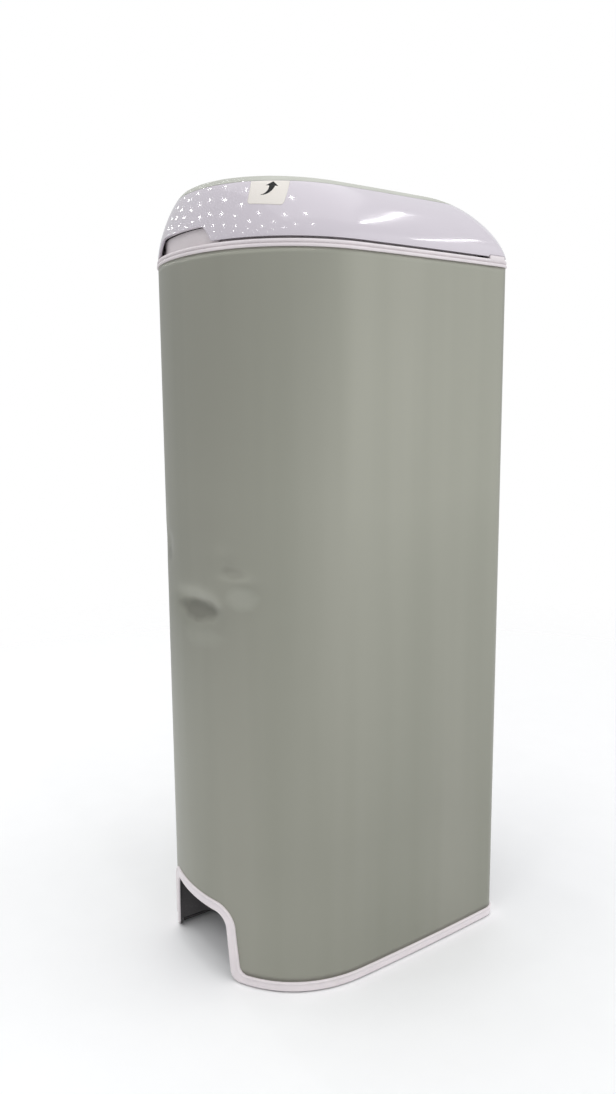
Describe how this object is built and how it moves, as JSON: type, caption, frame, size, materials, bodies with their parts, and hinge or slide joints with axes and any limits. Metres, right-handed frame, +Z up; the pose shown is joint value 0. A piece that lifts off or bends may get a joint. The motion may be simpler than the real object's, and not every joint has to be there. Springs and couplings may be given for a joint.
{
  "type": "pedal-operated waste compactor",
  "caption": "Slim D-shaped pedal bin with a hinged lid, an inner bucket and a hand-pushed press plate that compacts the waste.",
  "frame": {"origin": "centre of the footprint, on the floor under the rubber feet", "axes": "+Z up, -Y towards the user at the curved front, +X to the right of a user who faces that front"},
  "size_m": [0.234, 0.282, 0.688],
  "materials": {
    "sage_steel": "satin sage-grey powder coat on sheet steel",
    "white_gloss": "glossy cool white moulding",
    "sage_plastic": "satin sage-grey moulding",
    "white_satin": "satin white moulding",
    "dark_plastic": "matt dark grey moulding",
    "grey_plastic": "matt mid grey moulding",
    "handle_plastic": "matt grey-green moulding",
    "bright_steel": "plain steel",
    "zinc_steel": "zinc-plated steel",
    "black_rubber": "matt dark rubber",
    "charcoal": "charcoal fleece"
  },
  "bodies": {
    "housing": {"body_skin": "sage_steel", "rear_panel": "dark_plastic", "rear_screws": "zinc_steel", "base_trim": "white_satin", "base_skirt": "dark_plastic", "foot_pocket": "dark_plastic", "bucket_deck": "dark_plastic", "axle_bearings": "dark_plastic", "bottom_plate": "dark_plastic", "rubber_feet": "black_rubber", "base_screws": "zinc_steel", "pedal_axle": "bright_steel", "axle_clips": "zinc_steel", "top_rim": "white_satin", "hinge_pins": "bright_steel", "rim_bumpers": "black_rubber", "inner_bucket": "grey_plastic", "bag_ring": "grey_plastic", "return_spring": "zinc_steel", "rod_guides": "dark_plastic", "guide_screws": "zinc_steel"},
    "lid": {"lid_shell": "white_gloss", "lid_deck": "grey_plastic", "hinge_knuckles": "white_satin", "crank_pin": "bright_steel", "lid_top_panel": "sage_plastic", "handle_well": "grey_plastic", "lid_inner_cover": "grey_plastic", "filter_cartridge": "charcoal", "filter_grille": "grey_plastic", "lid_seal": "black_rubber", "ram_guide": "handle_plastic", "guide_bolts": "zinc_steel", "lid_screws": "zinc_steel"},
    "pedal": {"pedal_lever": "bright_steel", "pedal_tread": "black_rubber"},
    "rod": {"lift_rod": "bright_steel", "rod_collar": "zinc_steel"},
    "handle": {"press_handle": "handle_plastic", "handle_rod": "bright_steel"},
    "button": {"lock_button": "handle_plastic"},
    "ram": {"ram_tube": "bright_steel", "press_plate": "handle_plastic", "plate_wiper": "black_rubber"}
  },
  "joints": [
    {"name": "lid_hinge", "type": "hinge", "parent": "housing", "child": "lid", "pos_m": [0, 0.1355, 0.6415], "axis": [-1, 0, 0], "range_deg": [0, 75]},
    {"name": "pedal_tilt", "type": "hinge", "parent": "housing", "child": "pedal", "pos_m": [0, 0, 0.03], "axis": [1, 0, 0], "range_deg": [0, 9.1]},
    {"name": "rod_lift", "type": "slide", "parent": "housing", "child": "rod", "axis": [0, 0, 1], "range_m": [0, 0.01948], "deforming": ["return_spring"]},
    {"name": "handle_pull", "type": "slide", "parent": "lid", "child": "handle", "axis": [0, 0, 1], "range_m": [0, 0.08]},
    {"name": "button_press", "type": "slide", "parent": "handle", "child": "button", "axis": [0, 0, -1], "range_m": [0, 0.003], "stiffness_N_per_m": 400},
    {"name": "ram_press", "type": "slide", "parent": "lid", "child": "ram", "axis": [0, 0, -1], "range_m": [0, 0.08]}
  ],
  "couplings": [
    {"joint": "pedal_tilt", "follows": "lid_hinge", "ratio": 0.12133},
    {"joint": "rod_lift", "follows": "lid_hinge", "m_per_rad": 0.014882}
  ]
}
